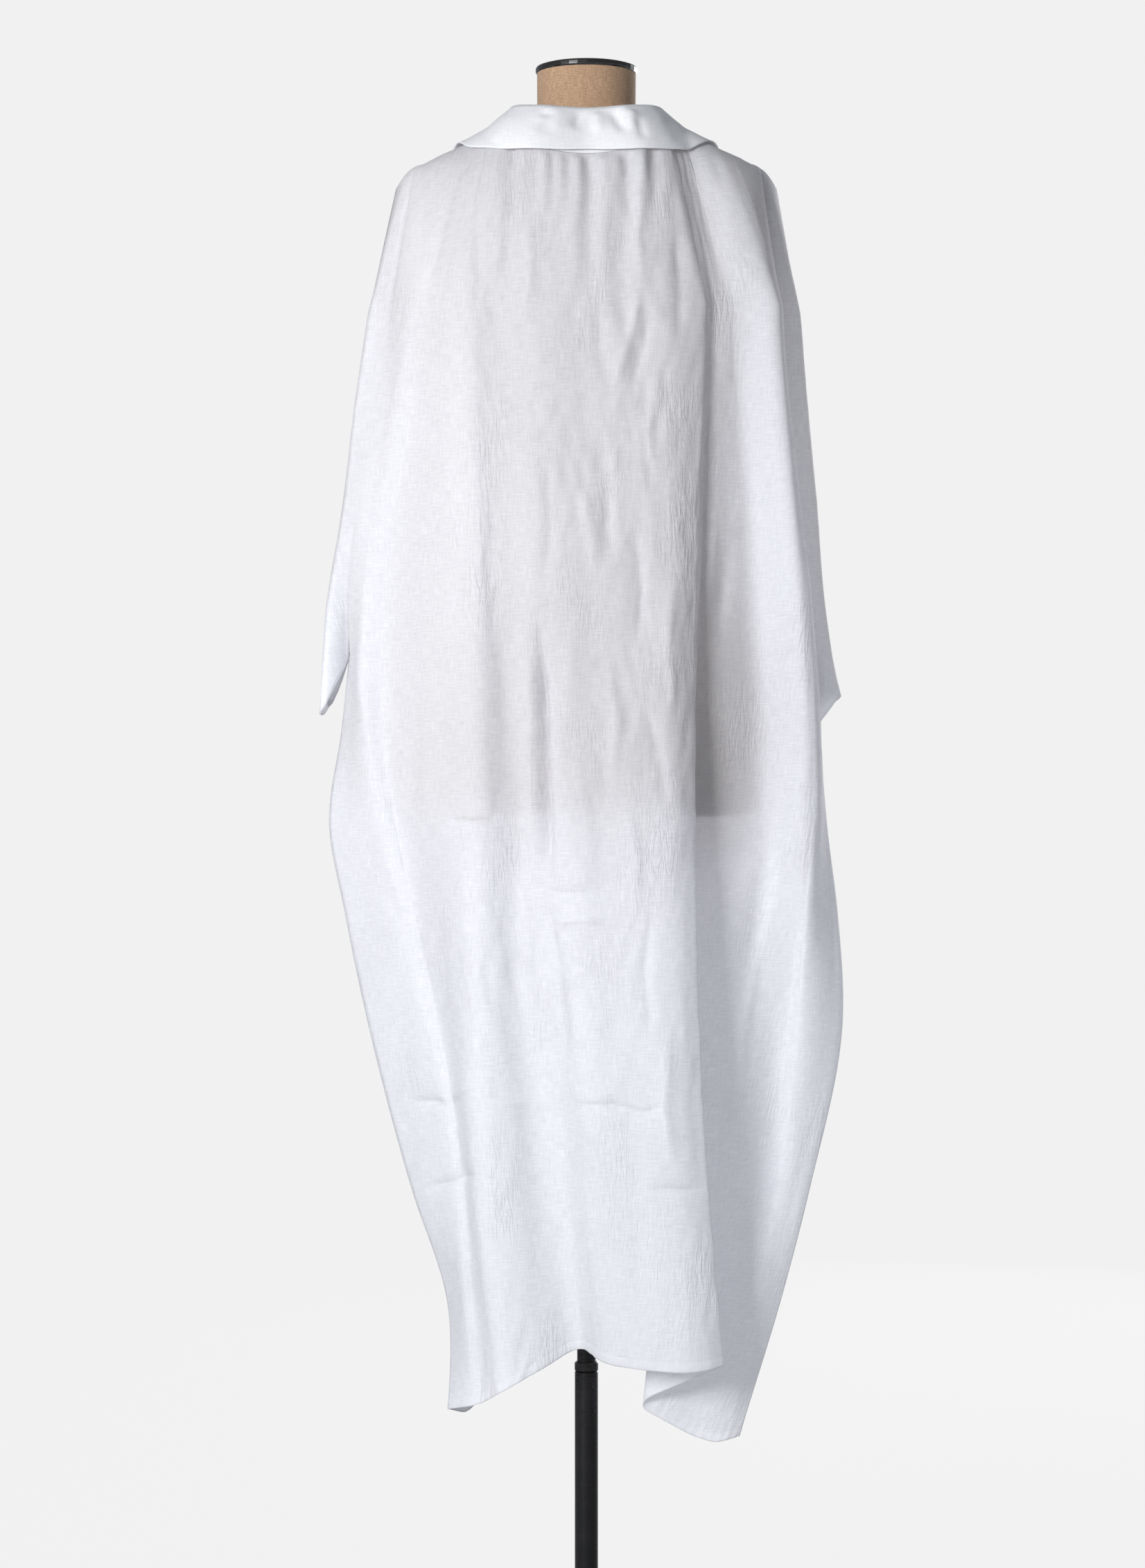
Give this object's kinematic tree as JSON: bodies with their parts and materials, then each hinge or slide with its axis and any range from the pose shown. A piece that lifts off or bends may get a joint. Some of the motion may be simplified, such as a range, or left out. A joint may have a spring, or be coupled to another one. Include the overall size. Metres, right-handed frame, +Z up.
{
  "type": "midi dress on a dress form",
  "caption": "Loose white kaftan midi dress with batwing sleeves, a wide turned-down collar and a pointed hem, on a limbless dress form with a telescopic pole and a round base.",
  "frame": {"origin": "centre of the base plate's underside, on the pole's axis, at floor level", "axes": "+Z up along the pole; the dress's back faces +Y and its front -Y; the wearer's left is +X"},
  "size_m": [0.5651, 0.36, 1.75],
  "materials": {
    "linen": "plain-woven white linen, slightly sheer",
    "form_cover": "coarse brown linen stretched over the form",
    "cap_chrome": "polished, dark",
    "black_gloss": "gloss black",
    "base_steel": "satin black"
  },
  "bodies": {
    "stand": {"base_plate": "base_steel", "base_socket": "black_gloss", "outer_tube": "black_gloss", "tube_bush": "black_gloss", "height_screw": "black_gloss"},
    "form": {"form_torso": "form_cover", "neck_cap": "cap_chrome", "pole_flange": "black_gloss", "inner_tube": "black_gloss", "dress_back": "linen", "dress_front": "linen", "neckband": "linen", "collar": "linen"}
  },
  "joints": [
    {"name": "height", "type": "slide", "parent": "stand", "child": "form", "axis": [0, 0, 1], "range_m": [-0.07, 0.2]}
  ]
}
